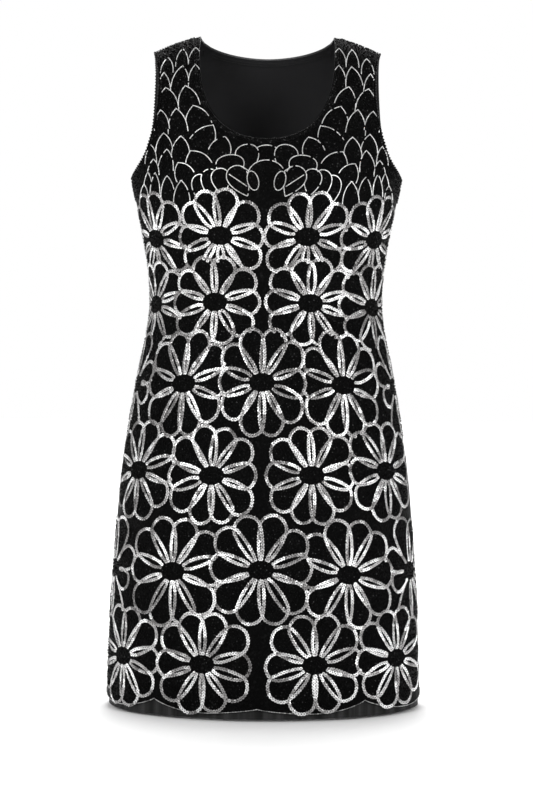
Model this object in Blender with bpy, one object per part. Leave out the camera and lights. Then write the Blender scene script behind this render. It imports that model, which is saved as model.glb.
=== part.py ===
"""A short sleeveless tank dress, filled out as it is worn, with nobody in it.

The outer shell is a front and a back with a scalloped hem. A plain lining, a
little longer than the shell, hangs inside it, and a narrow facing finishes the
back of the neck. All of them are walls that follow one form: rings of cloth
stacked from the hem to the shoulder seam, which lies on the plane Y = 0.

Metres, +Z up. The front faces -Y. The origin is midway between the two
straps, at the height where they rest on the shoulders.
"""

import math
from bisect import bisect_left
from collections import namedtuple
from functools import lru_cache

import bpy
import numpy as np

# Cloth
SHELL_WALL = 0.0016
LINING_WALL = 0.0010
FACING_WALL = 0.0010
SEAM_GAP = 0.0003
FACING_WIDTH = 0.010

# Heights are drops below the neck point, the top of the shoulder seam at the neck
NECK_POINT_HEIGHT = 0.0125
LINING_HEM_DROP = 0.893
SHELL_HEM_DROP = 0.887
SCALLOP_DEPTH = 0.011
SCALLOPS_PER_PANEL = 4
UNDERARM_DROP = 0.194

# Shoulder seam, seen from the front
NECK_HALF_WIDTH = 0.0895
STRAP_TIP_HALF_WIDTH = 0.1515
SHOULDER_FALL = 0.022

# Rings of the form, from the hem up to the shoulder seam. fall is how far the
# ring's level drops between the neck and the strap's tip, and roundness is the
# power of its outline: 2 is an ellipse, and more is squarer.
Ring = namedtuple("Ring", "name drop half_width front_depth back_depth fall roundness")
RINGS = (
    Ring("hem", LINING_HEM_DROP, 0.2100, 0.1320, 0.1280, 0.0, 2.00),
    Ring("skirt", 0.790, 0.2070, 0.1290, 0.1260, 0.0, 2.00),
    Ring("thigh", 0.680, 0.2000, 0.1240, 0.1230, 0.0, 2.02),
    Ring("hip", 0.575, 0.1910, 0.1180, 0.1180, 0.0, 2.05),
    Ring("high_hip", 0.465, 0.1730, 0.1090, 0.1020, 0.0, 2.08),
    Ring("waist", 0.355, 0.1550, 0.1010, 0.0810, 0.0, 2.10),
    Ring("ribs", 0.290, 0.1610, 0.1080, 0.0820, 0.0, 2.14),
    Ring("bust", 0.238, 0.1715, 0.1180, 0.0880, 0.0, 2.18),
    Ring("underarm", UNDERARM_DROP, 0.1805, 0.1150, 0.0930, 0.0, 2.22),
    Ring("chest", 0.145, 0.1830, 0.1000, 0.0940, 0.003, 2.30),
    Ring("upper_chest", 0.095, 0.1850, 0.0850, 0.0880, 0.010, 2.40),
    Ring("collarbone", 0.050, 0.1860, 0.0685, 0.0740, 0.016, 2.50),
    Ring("strap", 0.020, 0.1870, 0.0490, 0.0540, 0.020, 2.55),
    Ring("strap_top", 0.005, 0.1870, 0.0250, 0.0280, 0.022, 2.60),
    Ring("seam", 0.000, 0.1870, 0.0000, 0.0000, SHOULDER_FALL, 2.60),
)

# The armhole's edge, seen from the front, from the strap's tip to the underarm.
# The front is cut further in than the back.
ArmholePoint = namedtuple("ArmholePoint", "drop front_half_width back_half_width")
ARMHOLE = (
    ArmholePoint(SHOULDER_FALL, STRAP_TIP_HALF_WIDTH, STRAP_TIP_HALF_WIDTH),
    ArmholePoint(0.050, 0.1445, 0.1528),
    ArmholePoint(0.078, 0.1425, 0.1545),
    ArmholePoint(0.108, 0.1445, 0.1570),
    ArmholePoint(0.145, 0.1525, 0.1637),
    ArmholePoint(0.172, 0.1630, 0.1715),
    ArmholePoint(UNDERARM_DROP, 0.1805, 0.1805),
)

# How each panel is cut. The neckline's drop falls off with the distance from
# the centre by two powers, and its grid has rows below the neck, shared by all
# columns, and then rows that only the straps have, from strap_start_drop up.
PanelCut = namedtuple(
    "PanelCut",
    "label neck_depth width_power depth_power strap_start_drop chest_rows strap_rows",
)
FRONT, BACK = -1, 1
CUTS = {
    FRONT: PanelCut("front", 0.151, 2.2, 3.2, 0.100, 8, 9),
    BACK: PanelCut("back", 0.017, 1.8, 1.4, 0.009, 12, 4),
}

# The panels' grid. Columns are counted from the centre line outwards.
NECK_COLUMNS = 6
STRAP_COLUMNS = 6
SKIRT_ROWS = 14
SCALLOP_FADE_DROP = 0.820
NECK_FADE_DROP = 0.330

Finish = namedtuple("Finish", "colour roughness metallic")
BEADED_BLACK = Finish((0.012, 0.012, 0.013, 1.0), 0.35, 0.0)
LINING_BLACK = Finish((0.020, 0.020, 0.022, 1.0), 0.55, 0.0)


def clear_scene():
    for obj in list(bpy.data.objects):
        bpy.data.objects.remove(obj, do_unlink=True)


def smoothstep(value, low, high):
    share = min(1.0, max(0.0, (value - low) / (high - low)))
    return share * share * (3.0 - 2.0 * share)


def blend(start, end, share):
    return start + (end - start) * share


class SmoothCurve:
    """A smooth curve through some values, each at its own knot."""

    def __init__(self, knots, values):
        self.knots = [float(knot) for knot in knots]
        self.values = [float(value) for value in values]
        self.slopes = [float(slope) for slope in np.gradient(self.values, self.knots)]

    def __call__(self, at):
        i = min(max(bisect_left(self.knots, at) - 1, 0), len(self.knots) - 2)
        width = self.knots[i + 1] - self.knots[i]
        u = (at - self.knots[i]) / width
        leaving, arriving = self.slopes[i] * width, self.slopes[i + 1] * width
        rise = blend(self.values[i], self.values[i + 1], u * u * (3 - 2 * u))
        return rise + u * (1 - u) * ((1 - u) * leaving - u * arriving)


def solve(rising, low, high):
    """Where a rising function crosses zero, by halving."""
    for _ in range(30):
        middle = (low + high) / 2
        if rising(middle) < 0:
            low = middle
        else:
            high = middle
    return (low + high) / 2


# A level runs from 0 at the hem ring to 1 at the shoulder seam, by the cloth's
# own length up the middle of the form.
def ring_levels():
    mean_depth = [(r.front_depth + r.back_depth) / 2 for r in RINGS]
    steps = [
        math.hypot(a.drop - b.drop, c - d)
        for a, b, c, d in zip(RINGS, RINGS[1:], mean_depth, mean_depth[1:])
    ]
    lengths = np.concatenate([[0.0], np.cumsum(steps)])
    return lengths / lengths[-1]


LEVELS = ring_levels()
RING_CURVES = [
    SmoothCurve(LEVELS, [getattr(ring, field) for ring in RINGS]) for field in Ring._fields[1:]
]


def ring_at(level):
    return Ring("between", *(curve(level) for curve in RING_CURVES))


def level_of_drop(drop):
    return solve(lambda level: drop - ring_at(level).drop, 0.0, 1.0)


UNDERARM_LEVEL = level_of_drop(UNDERARM_DROP)

QUARTER_TURN = np.linspace(0.0, math.pi / 2, 61)
QUARTER_SIN = np.sin(QUARTER_TURN)
QUARTER_COS = np.clip(np.cos(QUARTER_TURN), 0.0, 1.0)


def quarter_ring(side, ring):
    """Points of a ring from the centre line to the side seam, with their lengths."""
    depth = max(0.0, ring.front_depth if side == FRONT else ring.back_depth)
    power = 2.0 / ring.roundness
    xs = ring.half_width * QUARTER_SIN**power
    ys = depth * QUARTER_COS**power
    lengths = np.concatenate([[0.0], np.cumsum(np.hypot(np.diff(xs), np.diff(ys)))])
    return xs, ys, lengths


def form_point(side, across, level):
    """A point on the outside of the form.

    across runs from 0 on the centre line to 1 or -1 at the side seams, by the
    length of the cloth round the ring.
    """
    ring = ring_at(level)
    xs, ys, lengths = quarter_ring(side, ring)
    reach = abs(across) * lengths[-1]
    x = float(np.interp(reach, lengths, xs))
    y = side * float(np.interp(reach, lengths, ys))
    span = STRAP_TIP_HALF_WIDTH**2 - NECK_HALF_WIDTH**2
    z = -ring.drop - ring.fall * (x * x - NECK_HALF_WIDTH**2) / span
    return np.array([math.copysign(x, across), y, NECK_POINT_HEIGHT + z])


def form_normal(side, across, level):
    """The outward direction of the form there."""
    step = 0.006
    left, right = max(-1.0, across - step), min(1.0, across + step)
    low, high = max(0.0, level - step), min(1.0, level + step)
    along = form_point(side, right, level) - form_point(side, left, level)
    up = form_point(side, across, high) - form_point(side, across, low)
    normal = np.cross(along, up) * (-side)
    return normal / np.linalg.norm(normal)


# Edges of the cloth, as drops below the neck point, seen from the front
def drop_of(point):
    return NECK_POINT_HEIGHT - point[2]


def neck_drop(side, half_width):
    cut = CUTS[side]
    inside = 1.0 - min(1.0, abs(half_width) / NECK_HALF_WIDTH) ** cut.width_power
    return cut.neck_depth * inside ** (1.0 / cut.depth_power)


def neck_half_width(side, drop):
    cut = CUTS[side]
    inside = 1.0 - min(1.0, max(0.0, drop) / cut.neck_depth) ** cut.depth_power
    return NECK_HALF_WIDTH * inside ** (1.0 / cut.width_power)


ARMHOLE_DROPS = [point.drop for point in ARMHOLE]
ARMHOLE_EDGES = {
    FRONT: SmoothCurve(ARMHOLE_DROPS, [point.front_half_width for point in ARMHOLE]),
    BACK: SmoothCurve(ARMHOLE_DROPS, [point.back_half_width for point in ARMHOLE]),
}


def armhole_half_width(side, drop):
    return ARMHOLE_EDGES[side](min(max(drop, SHOULDER_FALL), UNDERARM_DROP))


def crossing(side, level, edge_half_width):
    """Where a ring meets an edge that is given as a half width at each drop."""

    def past_edge(across):
        point = form_point(side, across, level)
        return point[0] - edge_half_width(side, drop_of(point))

    return solve(past_edge, 0.0, 1.0)


def armhole_across(side, level):
    return 1.0 if level <= UNDERARM_LEVEL else crossing(side, level, armhole_half_width)


def neck_across(side, level):
    return crossing(side, level, neck_half_width)


def scallop_drop(across):
    """The shell's hem: round scallops that meet in upward points."""
    wave = abs(math.sin(math.pi * SCALLOPS_PER_PANEL / 2 * across))
    return SHELL_HEM_DROP - SCALLOP_DEPTH * (1.0 - wave**0.75)


class Panel:
    """The grid of a front or a back: which ring and place each point has."""

    def __init__(self, side):
        cut = CUTS[side]
        self.side = side
        self.last_column = NECK_COLUMNS + STRAP_COLUMNS
        self.neck_row = SKIRT_ROWS + cut.chest_rows
        self.last_row = self.neck_row + cut.strap_rows
        self.neck_level = level_of_drop(cut.strap_start_drop)
        self.neck_split = neck_across(side, self.neck_level)
        self.fade_level = level_of_drop(NECK_FADE_DROP)
        self.hem_fade_level = level_of_drop(SCALLOP_FADE_DROP)
        self.row_levels = self.spread_rows(cut)
        self.edge_levels = [self.neck_edge_level(j) for j in range(NECK_COLUMNS + 1)]

    def spread_rows(self, cut):
        """Levels of the rows, which are closest at the underarm and the neck."""
        under_neck = self.level_below(self.neck_level, self.neck_split)
        skirt = [UNDERARM_LEVEL * row / SKIRT_ROWS for row in range(SKIRT_ROWS)]
        last = cut.chest_rows - 1
        chest = [
            blend(UNDERARM_LEVEL, under_neck, smoothstep(row, 0, last)) for row in range(last + 1)
        ]
        strap = [
            blend(self.neck_level, 1.0, row / cut.strap_rows) for row in range(cut.strap_rows + 1)
        ]
        return skirt + chest + strap

    @lru_cache(maxsize=None)
    def level_below(self, top, across):
        """The level one facing's width below another."""
        edge = form_point(self.side, across, top)

        def past_top(level):
            return FACING_WIDTH - np.linalg.norm(form_point(self.side, across, level) - edge)

        return solve(past_top, top - 0.05, top)

    def split(self, level):
        """Where the column that meets the corner of the neck is, at any level."""
        if level > self.neck_level:
            return neck_across(self.side, level)
        even = NECK_COLUMNS / self.last_column
        return blend(even, self.neck_split, smoothstep(level, 0.0, self.neck_level))

    def across(self, column, level):
        """The place of a column. The strap's first one is as wide as the facing."""
        split, count = self.split(level), abs(column)
        if count <= NECK_COLUMNS:
            return math.copysign(split * count / NECK_COLUMNS, column)
        edge = armhole_across(self.side, level)
        even = (edge - split) / STRAP_COLUMNS
        length = quarter_ring(self.side, ring_at(level))[2][-1]
        first = blend(even, FACING_WIDTH / length, smoothstep(level, 0.5, self.neck_level))
        others = (edge - split - first) / (STRAP_COLUMNS - 1)
        return math.copysign(split + first + others * (count - NECK_COLUMNS - 1), column)

    def neck_edge_level(self, column):
        def above_edge(level):
            point = form_point(self.side, self.across(column, level), level)
            return neck_drop(self.side, point[0]) - drop_of(point)

        return solve(above_edge, UNDERARM_LEVEL, self.neck_level)

    def level(self, column, row):
        """A point's level. Near the neck, the rows dip to follow its edge."""
        level, count = self.row_levels[row], abs(column)
        if count > NECK_COLUMNS or row > self.neck_row:
            return level
        edge = self.edge_levels[count]
        if row == self.neck_row:
            return edge
        under = self.row_levels[self.neck_row - 1]
        under_edge = self.level_below(edge, self.across(count, edge))
        return level - (under - under_edge) * smoothstep(level, self.fade_level, under)

    def has(self, column, row):
        return row <= self.neck_row or abs(column) >= NECK_COLUMNS

    def cells(self):
        """The grid's cells, each as four corners in order seen from the front."""
        squares = [
            ((c, r), (c + 1, r), (c + 1, r + 1), (c, r + 1))
            for r in range(self.last_row)
            for c in range(-self.last_column, self.last_column)
        ]
        return [cell for cell in squares if all(self.has(*corner) for corner in cell)]

    def neck_edge_cells(self):
        """The one row of cells along the neck's edge, from shoulder to shoulder."""
        kept = []
        for cell in self.cells():
            columns = [abs(column) for column, _ in cell]
            beside_edge = max(columns) <= NECK_COLUMNS or min(columns) == NECK_COLUMNS
            if cell[0][1] < self.neck_row - 1 or not beside_edge:
                continue
            outer_corners = [(side * (NECK_COLUMNS + 1), self.neck_row - 1) for side in (-1, 1)]
            kept.append(tuple(corner for corner in cell if corner not in outer_corners))
        return kept

    @lru_cache(maxsize=None)
    def place(self, column, row, scalloped):
        """How far across and at which level a grid point is."""
        level = self.level(column, row)
        across = self.across(column, level)
        if scalloped and level < self.hem_fade_level:
            hem = level_of_drop(scallop_drop(across))
            level = blend(hem, self.hem_fade_level, level / self.hem_fade_level)
            across = self.across(column, level)
        return across, level


def clear_of_seam(point, side):
    """Keeps half a seam's gap to the plane of the side and shoulder seams."""
    y = side * max(side * point[1], SEAM_GAP / 2)
    return np.array([point[0], y, point[2]])


def split_cell(cell):
    """Triangles that split a cell the same way in each layer, mirrored left to right."""
    if len(cell) == 3:
        return [cell]
    a, b, c, d = cell
    if min(column for column, _ in cell) < 0:
        return [(a, b, d), (b, c, d)]
    return [(a, b, c), (a, c, d)]


def make_wall(name, panel, cells, top, wall, finish, scalloped=False):
    """A closed wall of cloth over some cells, its top so far inside the form."""
    corners = sorted({corner for cell in cells for corner in cell})
    index = {corner: i for i, corner in enumerate(corners)}
    outer, inner = [], []
    for column, row in corners:
        across, level = panel.place(column, row, scalloped)
        point = form_point(panel.side, across, level)
        inward = -form_normal(panel.side, across, level)
        outer.append(clear_of_seam(point + inward * top, panel.side))
        inner.append(clear_of_seam(point + inward * (top + wall), panel.side))
    count = len(corners)
    turn = -panel.side
    faces, rim = [], set()
    for cell in cells:
        for triangle in split_cell(cell):
            a, b, c = [index[corner] for corner in triangle][::turn]
            faces += [(a, b, c), (c + count, b + count, a + count)]
            for edge in ((a, b), (b, c), (c, a)):
                if edge[::-1] in rim:
                    rim.remove(edge[::-1])
                else:
                    rim.add(edge)
    faces += [(b, a, a + count, b + count) for a, b in sorted(rim)]
    mesh = bpy.data.meshes.new(name)
    mesh.from_pydata([tuple(p) for p in outer + inner], [], faces)
    mesh.update()
    mesh.shade_smooth()
    mesh.set_sharp_from_angle(angle=math.radians(40))
    obj = bpy.data.objects.new(name, mesh)
    bpy.context.scene.collection.objects.link(obj)
    mesh.materials.append(cloth_material(name, finish))


def cloth_material(name, finish):
    material = bpy.data.materials.new(name)
    material.use_nodes = True
    shader = material.node_tree.nodes["Principled BSDF"]
    shader.inputs["Base Color"].default_value = finish.colour
    shader.inputs["Roughness"].default_value = finish.roughness
    shader.inputs["Metallic"].default_value = finish.metallic
    return material


def make_shell(panel):
    name = f"{CUTS[panel.side].label}_shell"
    make_wall(name, panel, panel.cells(), 0.0, SHELL_WALL, BEADED_BLACK, scalloped=True)


def make_lining(panel):
    name = f"{CUTS[panel.side].label}_lining"
    top = SHELL_WALL + SEAM_GAP
    make_wall(name, panel, panel.cells(), top, LINING_WALL, LINING_BLACK)


def make_neck_facing(panel):
    """The strip inside the neckline."""
    name = f"{CUTS[panel.side].label}_neck_facing"
    top = SHELL_WALL + LINING_WALL + 2 * SEAM_GAP
    make_wall(name, panel, panel.neck_edge_cells(), top, FACING_WALL, LINING_BLACK)


def main():
    clear_scene()
    front, back = Panel(FRONT), Panel(BACK)
    for panel in (front, back):
        make_shell(panel)
        make_lining(panel)
    make_neck_facing(back)


main()
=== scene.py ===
import math
from collections import namedtuple

import bpy
import numpy as np
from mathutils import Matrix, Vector, kdtree


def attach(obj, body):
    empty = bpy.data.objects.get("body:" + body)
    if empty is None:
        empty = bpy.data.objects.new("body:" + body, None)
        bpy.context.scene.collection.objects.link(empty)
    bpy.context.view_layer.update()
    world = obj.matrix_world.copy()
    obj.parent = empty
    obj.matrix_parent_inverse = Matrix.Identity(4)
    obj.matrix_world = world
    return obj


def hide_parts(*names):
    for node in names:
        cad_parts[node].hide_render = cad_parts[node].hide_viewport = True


# A black tank dress, filled out as it is worn. The shell, lining and facing are
# thin walls on the same form as the CAD nodes, with finer edges. The sewn-on
# trims lie on the shell: daisies of silver sequins, a yoke of scales and petals
# in silver bugle beads, black beads, and a silver line along the scallops.
# Lengths are in metres. Drops are measured down from the neck point.

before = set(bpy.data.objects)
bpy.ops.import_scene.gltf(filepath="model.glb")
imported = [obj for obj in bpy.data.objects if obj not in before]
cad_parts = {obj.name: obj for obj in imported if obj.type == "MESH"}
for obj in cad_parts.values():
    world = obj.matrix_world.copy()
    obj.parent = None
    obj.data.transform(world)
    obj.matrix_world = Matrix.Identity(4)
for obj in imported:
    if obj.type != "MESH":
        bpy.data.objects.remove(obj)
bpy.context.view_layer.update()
bpy.ops.object.select_all(action="DESELECT")
rng = np.random.default_rng(41)

# The form, as the part's source has it
SHELL_WALL = 0.0016
LINING_WALL = 0.0010
FACING_WALL = 0.0010
SEAM_GAP = 0.0003
FACING_WIDTH = 0.010
NECK_POINT_HEIGHT = 0.0125
LINING_HEM_DROP = 0.893
SHELL_HEM_DROP = 0.887
SCALLOP_DEPTH = 0.011
SCALLOPS_PER_PANEL = 4
UNDERARM_DROP = 0.194
NECK_HALF_WIDTH = 0.0895
STRAP_TIP_HALF_WIDTH = 0.1515
SHOULDER_FALL = 0.022

Ring = namedtuple("Ring", "name drop half_width front_depth back_depth fall roundness")
RINGS = (
    Ring("hem", LINING_HEM_DROP, 0.2100, 0.1320, 0.1280, 0.0, 2.00),
    Ring("skirt", 0.790, 0.2070, 0.1290, 0.1260, 0.0, 2.00),
    Ring("thigh", 0.680, 0.2000, 0.1240, 0.1230, 0.0, 2.02),
    Ring("hip", 0.575, 0.1910, 0.1180, 0.1180, 0.0, 2.05),
    Ring("high_hip", 0.465, 0.1730, 0.1090, 0.1020, 0.0, 2.08),
    Ring("waist", 0.355, 0.1550, 0.1010, 0.0810, 0.0, 2.10),
    Ring("ribs", 0.290, 0.1610, 0.1080, 0.0820, 0.0, 2.14),
    Ring("bust", 0.238, 0.1715, 0.1180, 0.0880, 0.0, 2.18),
    Ring("underarm", UNDERARM_DROP, 0.1805, 0.1150, 0.0930, 0.0, 2.22),
    Ring("chest", 0.145, 0.1830, 0.1000, 0.0940, 0.003, 2.30),
    Ring("upper_chest", 0.095, 0.1850, 0.0850, 0.0880, 0.010, 2.40),
    Ring("collarbone", 0.050, 0.1860, 0.0685, 0.0740, 0.016, 2.50),
    Ring("strap", 0.020, 0.1870, 0.0490, 0.0540, 0.020, 2.55),
    Ring("strap_top", 0.005, 0.1870, 0.0250, 0.0280, 0.022, 2.60),
    Ring("seam", 0.000, 0.1870, 0.0000, 0.0000, SHOULDER_FALL, 2.60),
)
ArmholePoint = namedtuple("ArmholePoint", "drop front_half_width back_half_width")
ARMHOLE = (
    ArmholePoint(SHOULDER_FALL, STRAP_TIP_HALF_WIDTH, STRAP_TIP_HALF_WIDTH),
    ArmholePoint(0.050, 0.1445, 0.1528),
    ArmholePoint(0.078, 0.1425, 0.1545),
    ArmholePoint(0.108, 0.1445, 0.1570),
    ArmholePoint(0.145, 0.1525, 0.1637),
    ArmholePoint(0.172, 0.1630, 0.1715),
    ArmholePoint(UNDERARM_DROP, 0.1805, 0.1805),
)
PanelCut = namedtuple("PanelCut", "label neck_depth width_power depth_power strap_start_drop")
FRONT, BACK = -1, 1
CUTS = {
    FRONT: PanelCut("front", 0.151, 2.2, 3.2, 0.100),
    BACK: PanelCut("back", 0.017, 1.8, 1.4, 0.009),
}
NECK_COLUMNS = 6
STRAP_COLUMNS = 6
SCALLOP_FADE_DROP = 0.820
NECK_FADE_DROP = 0.330
FACING_FADE_LEVEL = 0.5
FACING_SEARCH = 0.05
ROW_EASE = 0.6

# The scallops aren't quite even: they are moved and stretched to one side, and
# those at the sides are deeper than those in the middle.
SCALLOP_MOVE, SCALLOP_STRETCH = 0.026, 0.046
MIDDLE_SCALLOP_DEPTH = SCALLOP_DEPTH * 0.6
SIDE_SCALLOP_DEPTH = SCALLOP_DEPTH * 1.3
SIDE_SCALLOP_START = 0.5
SCALLOP_ROUNDNESS = 0.75

# Steps of the cloth's grids: for each column of the solids, and in rows up the
# skirt, the chest, the band below the neck's edge, and the strap
Grid = namedtuple("Grid", "per_column skirt chest band strap")
SHELL_GRIDS = {FRONT: Grid(4, 60, 14, 2, 20), BACK: Grid(4, 60, 24, 2, 3)}
LINING_GRIDS = {FRONT: Grid(3, 36, 10, 2, 14), BACK: Grid(3, 36, 16, 2, 3)}

# How finely the form is worked out
LEVEL_STEPS = 1200
ACROSS_STEPS = 160
QUARTER_STEPS = 240
NORMAL_STEP = 0.006
HALVINGS = 26
SEEN_PASSES = 6


def blend(start, end, share):
    return start + (end - start) * share


def smoothstep(value, low, high):
    share = np.clip((value - low) / (high - low), 0.0, 1.0)
    return share * share * (3.0 - 2.0 * share)


def smooth_curve(knots, values, at):
    """A smooth curve through some values, each at its own knot."""
    knots, values = np.asarray(knots, float), np.asarray(values, float)
    slopes = np.gradient(values, knots)
    i = np.clip(np.searchsorted(knots, at) - 1, 0, len(knots) - 2)
    width = knots[i + 1] - knots[i]
    u = (at - knots[i]) / width
    rise = blend(values[i], values[i + 1], u * u * (3 - 2 * u))
    return rise + u * (1 - u) * width * ((1 - u) * slopes[i] - u * slopes[i + 1])


def solve(rising, low, high):
    """Where a rising function of arrays crosses zero, by halving."""
    low, high = np.array(low, float), np.array(high, float)
    for _ in range(HALVINGS):
        middle = (low + high) / 2
        below = rising(middle) < 0
        low, high = np.where(below, middle, low), np.where(below, high, middle)
    return (low + high) / 2


class Form:
    """The outside of the dress. A place on it has a side, how far across it is
    (0 on the centre line, 1 or -1 at the side seams) and a level (0 at the hem,
    1 at the shoulder seam), both by the length of the cloth."""

    def __init__(self):
        depths = [(r.front_depth + r.back_depth) / 2 for r in RINGS]
        drops = [r.drop for r in RINGS]
        lengths = np.concatenate([[0.0], np.cumsum(np.hypot(np.diff(drops), np.diff(depths)))])
        self.length = lengths[-1]
        self.levels = np.linspace(0.0, 1.0, LEVEL_STEPS + 1)
        self.ring = {
            field: smooth_curve(lengths / self.length, [getattr(r, field) for r in RINGS], self.levels)
            for field in Ring._fields[1:]
        }
        self.table, self.quarter = {}, {}
        for side in (FRONT, BACK):
            self.table[side], self.quarter[side] = self.quarter_rings(side)

    def quarter_rings(self, side):
        """Points from the centre line to the side seam on each level, and that length."""
        turn = np.linspace(0.0, math.pi / 2, QUARTER_STEPS + 1)
        depth = self.ring["front_depth" if side == FRONT else "back_depth"]
        power = 2.0 / self.ring["roundness"][:, None]
        xs = self.ring["half_width"][:, None] * np.sin(turn) ** power
        ys = np.maximum(depth, 0.0)[:, None] * np.clip(np.cos(turn), 0.0, 1.0) ** power
        steps = np.hypot(np.diff(xs, axis=1), np.diff(ys, axis=1))
        lengths = np.concatenate([np.zeros((len(xs), 1)), np.cumsum(steps, axis=1)], axis=1)
        shares = np.linspace(0.0, 1.0, ACROSS_STEPS + 1)
        table = np.empty((len(xs), len(shares), 3))
        for i, row in enumerate(lengths):
            table[i, :, 0] = np.interp(shares * row[-1], row, xs[i])
            table[i, :, 1] = side * np.interp(shares * row[-1], row, ys[i])
        span = STRAP_TIP_HALF_WIDTH**2 - NECK_HALF_WIDTH**2
        tilt = (table[:, :, 0] ** 2 - NECK_HALF_WIDTH**2) / span
        drop = self.ring["drop"][:, None] + self.ring["fall"][:, None] * tilt
        table[:, :, 2] = NECK_POINT_HEIGHT - drop
        return table, lengths[:, -1]

    def point(self, side, across, level):
        """The point of the form at a place, read between the four nearest in its table."""
        across, level = np.broadcast_arrays(np.asarray(across, float), np.asarray(level, float))
        i = np.clip(level, 0.0, 1.0) * LEVEL_STEPS
        j = np.clip(np.abs(across), 0.0, 1.0) * ACROSS_STEPS
        row = np.minimum(i.astype(int), LEVEL_STEPS - 1)
        column = np.minimum(j.astype(int), ACROSS_STEPS - 1)
        u, v = (i - row)[..., None], (j - column)[..., None]
        t = self.table[side]
        low = blend(t[row, column], t[row, column + 1], v)
        high = blend(t[row + 1, column], t[row + 1, column + 1], v)
        found = blend(low, high, u)
        found[..., 0] = np.copysign(found[..., 0], across)
        return found

    def normal(self, side, across, level):
        """The outward direction of the form."""
        left, right = np.maximum(-1.0, across - NORMAL_STEP), np.minimum(1.0, across + NORMAL_STEP)
        low, high = np.maximum(0.0, level - NORMAL_STEP), np.minimum(1.0, level + NORMAL_STEP)
        along = self.point(side, right, level) - self.point(side, left, level)
        up = self.point(side, across, high) - self.point(side, across, low)
        return unit(np.cross(along, up) * (-side))

    def quarter_length(self, side, level):
        return np.interp(level, self.levels, self.quarter[side])

    def level_of_drop(self, drop):
        return np.interp(-np.asarray(drop, float), -self.ring["drop"], self.levels)

    def drop(self, side, across, level):
        return NECK_POINT_HEIGHT - self.point(side, across, level)[..., 2]

    def seen_at(self, side, x, drop):
        """The place that lies at some x and drop when the panel is seen straight on."""
        x, drop = np.broadcast_arrays(np.asarray(x, float), np.asarray(drop, float))
        level = self.level_of_drop(drop)
        low, high = 0 * x, 0 * x + 1.0
        for _ in range(SEEN_PASSES):
            across = solve(lambda a: self.point(side, a, level)[..., 0] - np.abs(x), low, high)
            level = solve(lambda at: drop - self.drop(side, across, at), low, high)
        return np.copysign(across, x), level


def unit(vectors):
    return vectors / np.maximum(np.linalg.norm(vectors, axis=-1, keepdims=True), 1e-12)


FORM = Form()
UNDERARM_LEVEL = float(FORM.level_of_drop(UNDERARM_DROP))
HEM_FADE_LEVEL = float(FORM.level_of_drop(SCALLOP_FADE_DROP))
NECK_FADE_LEVEL = float(FORM.level_of_drop(NECK_FADE_DROP))


# Edges of the cloth, as drops and half widths seen from the front
def neck_drop(side, x):
    cut = CUTS[side]
    inside = 1.0 - np.minimum(1.0, np.abs(x) / NECK_HALF_WIDTH) ** cut.width_power
    return cut.neck_depth * inside ** (1.0 / cut.depth_power)


def neck_half_width(side, drop):
    cut = CUTS[side]
    inside = 1.0 - np.clip(drop / cut.neck_depth, 0.0, 1.0) ** cut.depth_power
    return NECK_HALF_WIDTH * inside ** (1.0 / cut.width_power)


def armhole_half_width(side, drop):
    field = "front_half_width" if side == FRONT else "back_half_width"
    drops, widths = [p.drop for p in ARMHOLE], [getattr(p, field) for p in ARMHOLE]
    return smooth_curve(drops, widths, np.clip(drop, SHOULDER_FALL, UNDERARM_DROP))


def crossing(side, level, half_width):
    """How far across an edge lies on a level."""

    def past_edge(across):
        point = FORM.point(side, across, level)
        return point[..., 0] - half_width(side, NECK_POINT_HEIGHT - point[..., 2])

    return solve(past_edge, 0 * level, 0 * level + 1.0)


def scallop_drop(across):
    """The shell's hem: round scallops that meet in upward points, a little uneven."""
    moved = across + (SCALLOP_MOVE - SCALLOP_STRETCH * across) * (1.0 - across**2)
    wave = np.abs(np.sin(math.pi * SCALLOPS_PER_PANEL / 2 * moved))
    outwards = smoothstep(np.abs(across), 0.0, SIDE_SCALLOP_START)
    depth = blend(MIDDLE_SCALLOP_DEPTH, SIDE_SCALLOP_DEPTH, outwards)
    return SHELL_HEM_DROP - depth * (1.0 - wave**SCALLOP_ROUNDNESS)


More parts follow.
